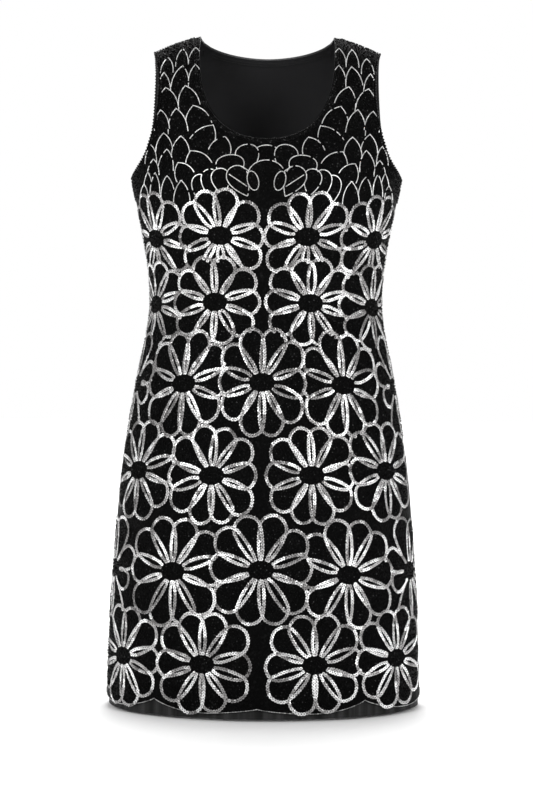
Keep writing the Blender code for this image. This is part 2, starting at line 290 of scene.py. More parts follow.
class Panel:
    """A front or a back, as a fine grid of columns and rows of cloth."""

    def __init__(self, side, grid):
        self.side = side
        self.neck_level = float(FORM.level_of_drop(CUTS[side].strap_start_drop))
        self.armhole = crossing(side, FORM.levels, armhole_half_width)
        self.armhole = np.where(FORM.levels <= UNDERARM_LEVEL, 1.0, self.armhole)
        self.neck = crossing(side, FORM.levels, neck_half_width)
        self.neck_split = float(np.interp(self.neck_level, FORM.levels, self.neck))
        last = (NECK_COLUMNS + STRAP_COLUMNS) * grid.per_column
        self.columns = np.arange(-last, last + 1) / grid.per_column
        self.band_row = grid.skirt + grid.chest
        self.neck_row = self.band_row + grid.band
        self.levels = self.row_levels(grid)

    def row_levels(self, grid):
        """The level of each grid point. Towards the neck the rows dip with its edge."""
        edge = self.edge_level(self.columns)
        under = self.level_below(edge, self.across(self.columns, edge))
        plain_under = float(self.level_below(self.neck_level, self.neck_split))
        dip = np.where(np.abs(self.columns) <= NECK_COLUMNS, plain_under - under, 0.0)
        skirt = np.linspace(0.0, UNDERARM_LEVEL, grid.skirt + 1)[:-1]
        steps = np.arange(grid.chest + 1)
        eased = smoothstep(steps, 0, grid.chest) * ROW_EASE
        eased += (1.0 - ROW_EASE) * steps / grid.chest
        chest = blend(UNDERARM_LEVEL, plain_under, eased)
        top = np.where(dip > 0, edge, self.neck_level)
        band = np.linspace(0.0, 1.0, grid.band + 1)[1:]
        strap = np.linspace(self.neck_level, 1.0, grid.strap + 1)[1:]
        rows = [at - dip * smoothstep(at, NECK_FADE_LEVEL, plain_under) for at in (*skirt, *chest)]
        rows += [blend(plain_under - dip, top, share) for share in band]
        rows += [0 * dip + at for at in strap]
        return np.array(rows)

    def split(self, level):
        """How far across the column lies that meets the neck's edge at its top."""
        even = NECK_COLUMNS / (NECK_COLUMNS + STRAP_COLUMNS)
        below = blend(even, self.neck_split, smoothstep(level, 0.0, self.neck_level))
        return np.where(level > self.neck_level, np.interp(level, FORM.levels, self.neck), below)

    def across(self, column, level):
        """How far across a column lies. The first past the neck is as wide as the facing."""
        split, count = self.split(level), np.abs(column)
        edge = np.interp(level, FORM.levels, self.armhole)
        even = (edge - split) / STRAP_COLUMNS
        width = FACING_WIDTH / FORM.quarter_length(self.side, level)
        first = blend(even, width, smoothstep(level, FACING_FADE_LEVEL, self.neck_level))
        others = (edge - split - first) / (STRAP_COLUMNS - 1)
        past = count - NECK_COLUMNS
        outer = split + first * np.clip(past, 0, 1) + others * np.maximum(past - 1, 0)
        inner = split * count / NECK_COLUMNS
        return np.copysign(np.where(past > 0, outer, inner), column)

    def edge_level(self, column):
        """Where a column meets the neck's edge."""

        def above_edge(level):
            point = FORM.point(self.side, self.across(column, level), level)
            return neck_drop(self.side, point[..., 0]) - (NECK_POINT_HEIGHT - point[..., 2])

        start = 0 * column + UNDERARM_LEVEL
        found = solve(above_edge, start, 0 * column + self.neck_level)
        return np.where(np.abs(column) < NECK_COLUMNS, found, self.neck_level)

    def level_below(self, top, across):
        """The level a facing's width below the level top."""
        edge = FORM.point(self.side, across, top)

        def past_top(level):
            return FACING_WIDTH - np.linalg.norm(FORM.point(self.side, across, level) - edge, axis=-1)

        return solve(past_top, top - FACING_SEARCH, top)

    def places(self, scalloped):
        """How far across and at which level each grid point is, by row and column."""
        level = self.levels
        across = self.across(self.columns[None, :], level)
        if scalloped:
            hem = FORM.level_of_drop(scallop_drop(across))
            moved = blend(hem, HEM_FADE_LEVEL, level / HEM_FADE_LEVEL)
            level = np.where(level < HEM_FADE_LEVEL, moved, level)
            across = self.across(self.columns[None, :], level)
        return across, level

    def cells(self, facing=False):
        """The cells of the grid that are cloth, or only those beside the neck's edge."""
        count = np.abs(self.columns)
        kept = []
        for row in range(len(self.levels) - 1):
            for i in range(len(self.columns) - 1):
                near, far = sorted((count[i], count[i + 1]))
                if row >= self.neck_row and near < NECK_COLUMNS:
                    continue
                beside_edge = far <= NECK_COLUMNS + 1
                if facing and (row < self.band_row or not beside_edge):
                    continue
                kept.append((row, i))
        return kept


def to_seam(points, side):
    """Runs the edge along a side or shoulder seam a hair past the seam's plane."""
    points = points.copy()
    depth = side * points[..., 1]
    points[..., 1] = side * np.where(depth < SEAM_GAP, -SEAM_GAP / 2, depth)
    return points


def add_object(name, points, faces, material, smooth_angle=None):
    mesh = bpy.data.meshes.new(name)
    mesh.from_pydata(points.tolist(), [], faces)
    mesh.update()
    if smooth_angle is not None:
        mesh.shade_smooth()
        mesh.set_sharp_from_angle(angle=math.radians(smooth_angle))
    mesh.materials.append(material)
    obj = bpy.data.objects.new(name, mesh)
    bpy.context.scene.collection.objects.link(obj)
    return obj


def make_wall(name, panel, cells, top, wall, material, scalloped=False, shape=None):
    """A closed wall of cloth over some cells, its outer face so far inside the form."""
    across, level = panel.places(scalloped)
    normal = FORM.normal(panel.side, across, level)
    outside = FORM.point(panel.side, across, level)
    if shape is not None:
        outside = outside + shape(panel.side, across, level)[..., None] * normal
    outer = to_seam(outside - normal * top, panel.side)
    inner = to_seam(outside - normal * (top + wall), panel.side)
    width = across.shape[1]
    used = sorted({(r + dr) * width + c + dc for r, c in cells for dr in (0, 1) for dc in (0, 1)})
    index = {corner: i for i, corner in enumerate(used)}
    count = len(used)
    faces, rim = [], {}
    for r, c in cells:
        corners = [r * width + c, r * width + c + 1, (r + 1) * width + c + 1, (r + 1) * width + c]
        face = [index[corner] for corner in corners][:: -panel.side]
        faces += [tuple(face), tuple(corner + count for corner in face[::-1])]
        for a, b in zip(face, face[1:] + face[:1]):
            if rim.pop((b, a), None) is None:
                rim[(a, b)] = True
    faces += [(b, a, a + count, b + count) for a, b in rim]
    outer, inner = outer.reshape(-1, 3)[used], inner.reshape(-1, 3)[used]
    obj = add_object(name, np.concatenate([outer, inner]), faces, material, 40)
    uv = np.stack([
        (across * FORM.quarter_length(panel.side, level)).ravel()[used],
        (level * FORM.length).ravel()[used],
    ], axis=1)
    uv = np.concatenate([uv, uv])
    layer = obj.data.uv_layers.new(name="cloth")
    loops = np.empty(len(obj.data.loops), dtype=np.int32)
    obj.data.loops.foreach_get("vertex_index", loops)
    layer.data.foreach_set("uv", uv[loops].ravel())
    return obj


def flat_area(panel, cells):
    """The area of the cells, which is the cut's, because cloth hardly stretches."""
    across, level = panel.places(True)
    p = FORM.point(panel.side, across, level)
    rows, columns = np.array(cells).T
    a, b = p[rows, columns], p[rows, columns + 1]
    c, d = p[rows + 1, columns + 1], p[rows + 1, columns]
    return float(
        (np.linalg.norm(np.cross(b - a, c - a), axis=1).sum()
         + np.linalg.norm(np.cross(c - a, d - a), axis=1).sum()) / 2
    )


# Materials
def new_material(name, roughness=0.5, metallic=0.0, specular=0.5):
    """A material, its nodes and its shader, with what is the same all over it."""
    material = bpy.data.materials.new(name)
    material.use_nodes = True
    tree = material.node_tree
    shader = tree.nodes["Principled BSDF"]
    shader.inputs["Roughness"].default_value = roughness
    shader.inputs["Metallic"].default_value = metallic
    shader.inputs["Specular IOR Level"].default_value = specular
    return material, tree, shader


def node(tree, kind, **settings):
    """A new node, with each setting on its socket or else on the node."""
    made = tree.nodes.new(kind)
    for key, value in settings.items():
        if key in made.inputs:
            made.inputs[key].default_value = value
        else:
            setattr(made, key, value)
    return made


def texture(tree, kind, where=None, **settings):
    """A texture that reads the object's coordinates, or the ones it is given."""
    made = node(tree, kind, **settings)
    where = where or node(tree, "ShaderNodeTexCoord").outputs["Object"]
    tree.links.new(where, made.inputs["Vector"])
    return made


def attribute(tree, name):
    return node(tree, "ShaderNodeAttribute", attribute_name=name).outputs["Fac"]


def ramp(tree, source, stops, into=None):
    """A colour or grey that follows a value through some stops."""
    made = tree.nodes.new("ShaderNodeValToRGB")
    elements = made.color_ramp.elements
    while len(elements) < len(stops):
        elements.new(0.5)
    for element, (place, colour) in zip(elements, stops):
        element.position = place
        element.color = (*colour, 1.0) if isinstance(colour, tuple) else (colour,) * 3 + (1.0,)
    tree.links.new(source, made.inputs["Fac"])
    if into:
        tree.links.new(made.outputs["Color"], into)
    return made.outputs["Color"]


def mixed(tree, share, first, second, into):
    """The first colour where the share is 0, and the second where it is 1."""
    made = node(tree, "ShaderNodeMix", data_type="RGBA")
    for value, socket in ((share, 0), (first, 6), (second, 7)):
        if isinstance(value, tuple):
            made.inputs[socket].default_value = value
        else:
            tree.links.new(value, made.inputs[socket])
    tree.links.new(made.outputs[2], into)


def bump(tree, shader, height, distance, strength):
    made = node(tree, "ShaderNodeBump", Distance=distance, Strength=strength)
    tree.links.new(height, made.inputs["Height"])
    tree.links.new(made.outputs["Normal"], shader.inputs["Normal"])


def shell_material():
    """Black cloth, closely sewn with tiny matt and shiny beads."""
    material, tree, shader = new_material("beaded_black_cloth", specular=0.03)
    beads = texture(tree, "ShaderNodeTexVoronoi", feature="F1", Scale=520.0)
    specks = texture(tree, "ShaderNodeTexVoronoi", feature="F1", Scale=390.0)
    cloud = texture(tree, "ShaderNodeTexNoise", Scale=60.0, Detail=3.0)
    blacks = [(0.0, 0.0006), (0.72, 0.0016), (0.93, 0.005), (1.0, 0.018)]
    ramp(tree, specks.outputs["Color"], blacks, shader.inputs["Base Color"])
    ramp(tree, cloud.outputs["Fac"], [(0.3, 0.42), (0.7, 0.62)], shader.inputs["Roughness"])
    round_top = ramp(tree, beads.outputs["Distance"], [(0.0, 1.0), (0.35, 0.85), (0.75, 0.0)])
    bump(tree, shader, round_top, 0.0006, 0.8)
    return material


def lining_material():
    """Smooth charcoal lining with a fine weave, and painted shade of soft folds in stripes along its hem.
    """
    material, tree, shader = new_material("charcoal_lining", roughness=0.55, specular=0.08)
    where = node(tree, "ShaderNodeUVMap", uv_map="cloth").outputs["UV"]
    both = node(tree, "ShaderNodeMath", operation="MULTIPLY")
    for socket, direction in enumerate("XY"):
        thread = texture(
            tree, "ShaderNodeTexWave", where, bands_direction=direction, Scale=420.0, Distortion=0.6
        )
        tree.links.new(thread.outputs["Fac"], both.inputs[socket])
    bump(tree, shader, both.outputs["Value"], 0.00012, 0.6)
    cloud = texture(tree, "ShaderNodeTexNoise", where, Scale=9.0, Detail=4.0)
    charcoals = [(0.3, (0.0115, 0.0115, 0.012)), (0.7, (0.0170, 0.0170, 0.018))]
    plain = ramp(tree, cloud.outputs["Fac"], charcoals)
    # Painted shade of folds: darker and lighter stripes across the band at the hem, which fade out above
    # it.
    apart = node(tree, "ShaderNodeSeparateXYZ")
    tree.links.new(where, apart.inputs["Vector"])
    fold_shade_stripes = node(tree, "ShaderNodeTexNoise", noise_dimensions="1D", Scale=75.0, Detail=3.0)
    tree.links.new(apart.outputs["X"], fold_shade_stripes.inputs["W"])
    painted_fold_shade = ramp(tree, fold_shade_stripes.outputs["Fac"], [(0.36, 0.010), (0.50, 0.022), (0.64, 0.038)])
    low = ramp(tree, apart.outputs["Y"], [(0.010, 1.0), (0.040, 0.0)])
    mixed(tree, low, plain, painted_fold_shade, shader.inputs["Base Color"])
    return material


def sequin_material():
    """Silver foil discs, painted bright or greyed as painted reflections, each with a dark stitched hole.
    """
    material, tree, shader = new_material("silver_sequin_foil", metallic=0.85)
    # Painted reflections: the foil's colour goes from dark grey to white with each sequin's painted
    # brightness.
    painted_glint_foils = [(0.0, (0.092, 0.088, 0.087)), (0.5, (0.385, 0.377, 0.375)), (1.0, (0.93, 0.93, 0.93))]
    foil = ramp(tree, attribute(tree, "tone_and_painted_glint"), painted_glint_foils)
    hole = ramp(tree, attribute(tree, "hole"), [(0.66, 0.0), (0.72, 1.0)])
    mixed(tree, hole, foil, (0.02, 0.02, 0.02, 1.0), shader.inputs["Base Color"])
    grain = texture(tree, "ShaderNodeTexNoise", Scale=700.0, Detail=2.0)
    ramp(tree, grain.outputs["Fac"], [(0.3, 0.22), (0.7, 0.36)], shader.inputs["Roughness"])
    return material


def silver_bead_material():
    """Glass lined with silver, bright or greyed from bead to bead."""
    material, tree, shader = new_material("silver_lined_bead", roughness=0.3, metallic=0.4)
    silvers = [(0.0, (0.10, 0.10, 0.10)), (1.0, (0.97, 0.97, 0.96))]
    ramp(tree, attribute(tree, "tone_and_painted_glint"), silvers, shader.inputs["Base Color"])
    return material


def black_bead_material():
    """Black glass, with a few beads painted lighter as painted glints."""
    material, tree, shader = new_material("black_glass_bead", specular=0.08)
    # Painted glints: a few beads, picked at random, are painted grey instead of black.
    blacks = [(0.0, 0.0007), (0.6, 0.0018), (0.88, 0.007), (1.0, 0.040)]
    ramp(tree, attribute(tree, "tone_and_painted_glint"), blacks, shader.inputs["Base Color"])
    facets = texture(tree, "ShaderNodeTexVoronoi", feature="F1", Scale=230.0)
    ramp(tree, facets.outputs["Distance"], [(0.0, 0.12), (1.0, 0.30)], shader.inputs["Roughness"])
    return material


def thread_material():
    """Dull twisted sewing thread."""
    material, tree, shader = new_material("grey_thread", roughness=0.7, specular=0.1)
    twist = texture(tree, "ShaderNodeTexNoise", Scale=900.0, Detail=1.0)
    ramp(tree, twist.outputs["Fac"], [(0.3, 0.020), (0.7, 0.034)], shader.inputs["Base Color"])
    return material


SHELL_CLOTH = shell_material()
LINING_CLOTH = lining_material()
SEQUIN_FOIL = sequin_material()
SILVER_BEAD = silver_bead_material()
BLACK_BEAD = black_bead_material()
THREAD = thread_material()


# Cloth
LINING_WAVE_DEPTH = 0.0011
LINING_WAVE_LEVEL = 0.07


def lining_wave(side, across, level):
    """The lining's hem waves a little in and out, and the wave dies away upwards."""
    low = 1.0 - smoothstep(level, 0.0, LINING_WAVE_LEVEL)
    wave = np.sin(11.0 * across + 0.6 * side) + 0.6 * np.sin(23.0 * across + 1.7)
    return -LINING_WAVE_DEPTH * low * (1.0 + wave / 1.6)


def make_cloth(side):
    """The shell and the lining of a front or a back, and the area of the shell's cut."""
    label = CUTS[side].label
    panel, inner = Panel(side, SHELL_GRIDS[side]), Panel(side, LINING_GRIDS[side])
    cells = panel.cells()
    shell = make_wall(f"{label}_beaded_shell", panel, cells, 0.0, SHELL_WALL, SHELL_CLOTH, True)
    lining = make_wall(
        f"{label}_charcoal_lining", inner, inner.cells(), SHELL_WALL + SEAM_GAP, LINING_WALL,
        LINING_CLOTH, shape=lining_wave,
    )
    for piece, replaced, slot in ((shell, "shell", "beaded_shell"), (lining, "lining", "lining")):
        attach(piece, "root")
        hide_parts(f"{label}_{replaced}")
    return shell, lining, flat_area(panel, cells)


def make_facing():
    """The narrow strip inside the back of the neck."""
    inner = Panel(BACK, LINING_GRIDS[BACK])
    strip = make_wall(
        "back_neck_strip", inner, inner.cells(facing=True),
        SHELL_WALL + LINING_WALL + 2 * SEAM_GAP, FACING_WALL, LINING_CLOTH,
    )
    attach(strip, "root")
    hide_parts("back_neck_facing")
    return strip


sheets = {side: make_cloth(side) for side in (FRONT, BACK)}
facing = make_facing()


# One of each small thing, modelled by hand and copied many times
SEQUIN_RADIUS, SEQUIN_HEIGHT, SEQUIN_HOLLOW = 0.00235, 0.00042, 0.00024
BUGLE_RADIUS, BUGLE_LENGTH = 0.00061, 0.0033
ON_AXIS = 1e-5


def take_shape():
    """The active object's points and faces, after which the object is removed."""
    obj = bpy.context.active_object
    mesh = obj.data
    points = np.array([v.co[:] for v in mesh.vertices])
    faces = [tuple(p.vertices) for p in mesh.polygons]
    bpy.data.objects.remove(obj, do_unlink=True)
    bpy.data.meshes.remove(mesh)
    return points, faces


def model_sequin():
    """A shallow disc, almost five millimetres across, with a hollow underside."""
    bpy.ops.mesh.primitive_cone_add(
        vertices=8, radius1=SEQUIN_RADIUS, radius2=0.0, depth=SEQUIN_HEIGHT, end_fill_type="TRIFAN"
    )
    for vertex in bpy.context.active_object.data.vertices:
        centred = math.hypot(vertex.co.x, vertex.co.y) < ON_AXIS
        vertex.select = centred and vertex.co.z < 0
    bpy.ops.object.mode_set(mode="EDIT")
    bpy.ops.mesh.select_mode(type="VERT")
    bpy.ops.transform.translate(value=(0.0, 0.0, SEQUIN_HOLLOW))
    bpy.ops.object.mode_set(mode="OBJECT")
    return take_shape()


def model_bugle():
    """A short six-sided glass tube that lies along X."""
    bpy.ops.mesh.primitive_cylinder_add(
        vertices=6, radius=BUGLE_RADIUS, depth=BUGLE_LENGTH, rotation=(0.0, math.pi / 2, 0.0)
    )
    bpy.ops.object.transform_apply(location=False, rotation=True, scale=True)
    return take_shape()


def model_round_bead():
    """A bead one unit across and a little flattened."""
    bpy.ops.mesh.primitive_ico_sphere_add(subdivisions=1, radius=0.5)
    bpy.ops.transform.resize(value=(1.0, 1.0, 0.85))
    bpy.ops.object.transform_apply(location=False, rotation=False, scale=True)
    return take_shape()


def model_cut_bead():
    """A faceted bead one unit across, with four sides and two points."""
    bpy.ops.mesh.primitive_uv_sphere_add(segments=4, ring_count=2, radius=0.5)
    return take_shape()


SEQUIN, BUGLE = model_sequin(), model_bugle()
ROUND_BEAD, CUT_BEAD = model_round_bead(), model_cut_bead()


def stamp(name, shape, places, material, smooth_angle=None, holes=False):
    """One mesh of many copies of a shape, each at its own place and size, and with its own brightness,
    which on the foil and on a few black beads is a painted glint.
    """
    points, faces = shape
    origins, axes, sizes, tones = places
    spread = points[None, :, :] * sizes[:, None, None]
    placed = origins[:, None, :] + np.einsum("mij,mnj->mni", axes, spread)
    count, each = len(origins), len(points)
    flat = [
        tuple(corner + first for corner in face)
        for first in range(0, count * each, each)
        for face in faces
    ]
    obj = add_object(name, placed.reshape(-1, 3), flat, material, smooth_angle)
    tone_and_painted_glint = obj.data.attributes.new("tone_and_painted_glint", "FLOAT", "POINT")
    tone_and_painted_glint.data.foreach_set("value", np.repeat(tones, each).astype(np.float32))
    if holes:
        centre = (np.hypot(points[:, 0], points[:, 1]) < ON_AXIS) & (points[:, 2] > 0)
        hole = obj.data.attributes.new("hole", "FLOAT", "POINT")
        hole.data.foreach_set("value", np.tile(centre.astype(np.float32), count))
    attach(obj, "root")
    return obj


def frames_at(side, across, level, lift, along, tilt=0.0, roll=0.0):
    """Origins and axes on the form. X runs along a strand and Z points outwards."""
    normal = FORM.normal(side, across, level)
    origin = to_seam(FORM.point(side, across, level), side) + normal * np.asarray(lift)[..., None]
    forward = unit(along - normal * (along * normal).sum(-1, keepdims=True))
    sideways = np.cross(normal, forward)
    tilt, roll = (np.broadcast_to(turn, across.shape)[..., None] for turn in (tilt, roll))
    up = unit(normal + forward * np.tan(tilt) + sideways * np.tan(roll))
    forward = unit(forward - up * (forward * up).sum(-1, keepdims=True))
    sideways = np.cross(up, forward)
    return origin, np.stack([forward, sideways, up], axis=-1)


def join(parts):
    """The arrays of several parts end to end, the first with the first and so on."""
    return [np.concatenate(items) for items in zip(*parts)]


def lengths_along(points):
    steps = np.linalg.norm(np.diff(points, axis=0), axis=1)
    return np.concatenate([[0.0], np.cumsum(steps)])


def even_places(lengths, count):
    return (np.arange(count) + 0.5) * lengths[-1] / count


def read_at(lengths, columns, at):
    """The columns of a table, read at some lengths along its rows."""
    return np.stack([np.interp(at, lengths, column) for column in columns.T], axis=1)


STEP_AHEAD = 0.0005


def even_steps(curve, pitch):
    """Points along a curve at an even pitch, with the direction of each."""
    lengths = lengths_along(curve)
    at = even_places(lengths, max(2, int(round(lengths[-1] / pitch))))
    place, ahead = read_at(lengths, curve, at), read_at(lengths, curve, at + STEP_AHEAD)
    return place, unit(ahead - place + 1e-9)


# Painted reflections of the foil: the tones of its bright and greyed stretches, how often each comes,
# their spread, and the range of their lengths in sequins.
PAINTED_GLINT_TONES = (0.25, 0.45, 0.65, 0.95)
FOIL_SHARES = (0.20, 0.28, 0.26, 0.26)
FOIL_SPREAD = 0.07
FOIL_RUN = (2, 7)


def painted_glint_runs(count):
    """Painted reflections: tones in stretches of a few sequins, painted as if the foil caught the light
    in stretches.
    """
    tones = np.empty(count)
    at = 0
    while at < count:
        length = int(rng.integers(*FOIL_RUN))
        tones[at : at + length] = rng.choice(PAINTED_GLINT_TONES, p=FOIL_SHARES)
        at += length
    return np.clip(tones + rng.normal(0.0, FOIL_SPREAD, count), 0.0, 1.0)


# Daisies of sequins
# Each row has the half width and half height of its daisies, how much shorter the
# petals are that point down, and the centres: how far to the right of the centre
# line along the cloth, and the drop. The back has them mirrored. In a row of five
# the two outermost are crowded, and their petals towards the next daisy are short.
DaisyRow = namedtuple("DaisyRow", "width height lower centres")
DAISY_ROWS = (
    DaisyRow(0.0555, 0.0585, 1.00, ((-0.159, 0.277), (-0.0595, 0.277), (0.053, 0.278), (0.155, 0.277))),
    DaisyRow(0.0575, 0.0575, 1.00, ((-0.164, 0.362), (-0.066, 0.3615), (0.058, 0.3625), (0.155, 0.365))),
    DaisyRow(0.0565, 0.0700, 1.00, (
        (-0.202, 0.467), (0.202, 0.469), (-0.108, 0.467), (0.103, 0.468), (-0.004, 0.465))),
    DaisyRow(0.0580, 0.0644, 1.00, ((-0.178, 0.580), (-0.068, 0.5845), (0.0605, 0.5835), (0.169, 0.579))),
    DaisyRow(0.0660, 0.0705, 1.00, (
        (-0.232, 0.711), (0.219, 0.711), (-0.120, 0.708), (0.111, 0.711), (-0.004, 0.7035))),
    DaisyRow(0.0635, 0.0664, 0.955, ((-0.201, 0.823), (-0.079, 0.8245), (0.066, 0.8245), (0.186, 0.822))),
)
PETALS = 10
PETAL_TURN = 2 * math.pi / PETALS
# Half of a petal's outline: its distance from the centre, as a share of the
# daisy's size, and how many degrees it swings from the petal's axis.
PetalPoint = namedtuple("PetalPoint", "reach swing")
PETAL = (
    PetalPoint(0.24, 22.5),
    PetalPoint(0.30, 25.6),
    PetalPoint(0.37, 26.6),
    PetalPoint(0.47, 25.4),
    PetalPoint(0.57, 23.6),
    PetalPoint(0.67, 21.8),
    PetalPoint(0.76, 19.9),
    PetalPoint(0.84, 18.0),
    PetalPoint(0.93, 12.5),
    PetalPoint(0.98, 6.0),
    PetalPoint(1.00, 0.0),
)
# The outer end of that outline, from its tip inwards
PETAL_END = PETAL[:6:-1]
PETAL_LINE_POINTS = 160
HEART_HALF_WIDTH, HEART_HALF_HEIGHT = 0.0172, 0.0122
DIAGONAL_REACH = 0.08
# The two short petals of a crowded daisy: how many degrees they turn from the
# direction of the next daisy, and their length
SHORT_PETALS = {"up": (22.0, 0.80), "down": (-24.0, 0.68)}

SEQUIN_PITCH = 0.0037
SEQUIN_LIFT, PETAL_OVERLAP = 0.0009, 0.0004
SEQUIN_SIZES = (0.94, 1.04)
SEQUIN_TILT, TILT_SPREAD, ROLL_SPREAD = math.radians(7.0), 0.07, 0.09
# Petals differ a little in turn (degrees), in length and in the gaps between them.
TURN_SPREAD = 3.0
LENGTH_SPREAD = (-0.035, 0.03)
SLACK_SPREAD = (0.65, 1.2)
# How much brighter the painted reflection of the foil is towards the heart than at its tips, and the
# share of the way out where it is neither brighter nor duller
PAINTED_BRIGHTER, PAINTED_BRIGHTER_WITHIN = 0.25, 0.72
COVERED_MARGIN = 0.0015
SEQUIN_SEAM_MARGIN = 0.0022
SEQUIN_HEM_OVERHANG = 0.0020

Daisy = namedtuple("Daisy", "side row across level width height lower crowded")


def daisies_on(side):
    """The daisies of a panel, from the top row down."""
    for row, (width, height, lower, centres) in enumerate(DAISY_ROWS):
        for i, (arc, drop) in enumerate(centres):
            level = float(FORM.level_of_drop(drop))
            across = -side * arc / float(FORM.quarter_length(side, level))
            crowded = len(centres) == 5 and i < 2
            yield Daisy(side, row, across, level, width, height, lower, crowded)


def reach_at(angle):
    """Petals reach a little further on a daisy's diagonals."""
    return 1.0 + DIAGONAL_REACH * np.sin(2.0 * angle) ** 4


def petals_of(daisy):
    """The turn and the length of each petal. A crowded daisy has two short petals
    towards its neighbour instead of three."""
    inward = math.pi if daisy.across > 0 else 0.0
    for k in range(PETALS):
        turn = k * PETAL_TURN
        length = reach_at(turn)
        steps = (k - round(inward / PETAL_TURN)) % PETALS
        if daisy.crowded and steps == 0:
            continue
        if daisy.crowded and steps in (1, PETALS - 1):
            swing, length = SHORT_PETALS["up" if math.sin(turn) > 0 else "down"]
            turn = inward + math.radians(swing if inward == 0.0 else -swing)
        yield turn, length


def petal_outline(daisy, turn, reach, slack):
    """A petal's line in its daisy's plane, from the heart out, round and back. Its
    slack widens or narrows what each leg swings past half the petals' spacing."""
    half = math.degrees(PETAL_TURN / 2)
    polar = []
    for hand in (1, -1):
        leg = []
        for p in PETAL:
            apart = p.swing - half
            swing = half + apart * slack[hand] if apart > 0 else p.swing
            leg.append((p.reach, hand * math.radians(swing)))
        polar += leg if hand == 1 else leg[-2::-1]
    share = (np.array([r for r, _ in polar]) - PETAL[0].reach) / (1.0 - PETAL[0].reach)
    angle = turn + np.array([s for _, s in polar])
    size = (daisy.width, daisy.height)
    heart_wide, heart_high = size[0] / HEART_HALF_WIDTH, size[1] / HEART_HALF_HEIGHT
    heart = 1.0 / np.hypot(np.cos(angle) * heart_wide, np.sin(angle) * heart_high)
    distance = blend(heart, reach, share)
    points = np.stack([distance * np.cos(angle), distance * np.sin(angle)], axis=1) * size
    points[:, 1] *= np.where(points[:, 1] < 0, daisy.lower, 1.0)
    knots = lengths_along(points)
    fine = np.linspace(0.0, knots[-1], PETAL_LINE_POINTS)
    return np.stack([smooth_curve(knots, points[:, i], fine) for i in (0, 1)], axis=1)


def inside_daisy(daisy, across, level, margin=0.0):
    """Which places lie within a daisy's outline, at least a margin inside it."""
    x = (across - daisy.across) * FORM.quarter_length(daisy.side, level) / daisy.width
    y = (level - daisy.level) * FORM.length / daisy.height
    y = np.where(y < 0, y / daisy.lower, y)
    angle = np.arctan2(y, x)
    swing = np.degrees(np.abs((angle + PETAL_TURN / 2) % PETAL_TURN - PETAL_TURN / 2))
    edge = np.interp(swing, [p.swing for p in PETAL_END], [p.reach for p in PETAL_END])
    return np.hypot(x, y) < edge * reach_at(angle) - margin / daisy.width


def on_form(daisy, place):
    """How far across and at which level a place in a daisy's plane lies."""
    level = daisy.level + place[:, 1] / FORM.length
    return daisy.across + place[:, 0] / FORM.quarter_length(daisy.side, level), level


def sew_petals(daisy):
    """The sequins of one daisy: across, level, along, lift and the tones of its painted reflections."""
    parts = []
    for k, (turn, length) in enumerate(petals_of(daisy)):
        turn += math.radians(rng.uniform(-TURN_SPREAD, TURN_SPREAD))
        slack = {1: rng.uniform(*SLACK_SPREAD), -1: rng.uniform(*SLACK_SPREAD)}
        outline = petal_outline(daisy, turn, length + rng.uniform(*LENGTH_SPREAD), slack)
        place, direction = even_steps(outline, SEQUIN_PITCH)
        across, level = on_form(daisy, place)
        ahead = FORM.point(daisy.side, *on_form(daisy, place + direction * STEP_AHEAD))
        along = ahead - FORM.point(daisy.side, across, level)
        lift = np.full(len(place), SEQUIN_LIFT + PETAL_OVERLAP * (k % 2))
        # Painted reflections: bright and greyed stretches of foil, painted brighter towards the heart.
        out = np.hypot(place[:, 0] / daisy.width, place[:, 1] / daisy.height)
        tone_and_painted_glint = np.clip(painted_glint_runs(len(place)) + PAINTED_BRIGHTER * (PAINTED_BRIGHTER_WITHIN - out), 0.0, 1.0)
        parts.append((across, level, along, lift, tone_and_painted_glint))
    return join(parts)


def sew_daisies(side):
    """Sequins of all the daisies of a panel. A later daisy hides what it covers."""
    daisies = list(daisies_on(side))
    sewn = []
    for daisy in daisies:
        earlier = []
        for other, strand in sewn:
            shown = ~inside_daisy(daisy, strand[0], strand[1], COVERED_MARGIN)
            earlier.append((other, [item[shown] for item in strand]))
        sewn = earlier + [(daisy, sew_petals(daisy))]
    made = {}
    for daisy, strand in sewn:
        across, level = strand[:2]
        reach = 1.0 - SEQUIN_SEAM_MARGIN / FORM.quarter_length(side, level)
        hem = FORM.level_of_drop(scallop_drop(across)) - SEQUIN_HEM_OVERHANG / FORM.length
        keep = (np.abs(across) < reach) & (level > hem)
        across, level, along, lift, tone_and_painted_glint = (item[keep] for item in strand)
        count = len(across)
        tilt = SEQUIN_TILT + rng.normal(0.0, TILT_SPREAD, count)
        roll = rng.normal(0.0, ROLL_SPREAD, count)
        origin, axes = frames_at(side, across, level, lift, along, tilt, roll)
        places = (origin, axes, rng.uniform(*SEQUIN_SIZES, count), tone_and_painted_glint)
        made.setdefault(daisy.row, []).append(places)
    origins = []
    for row, group in sorted(made.items()):
        places = join(group)
        name = f"{CUTS[side].label}_daisies_{row + 1}"
        stamp(name, SEQUIN, places, SEQUIN_FOIL, holes=True)
        origins.append(places[0])
    return daisies, np.concatenate(origins)


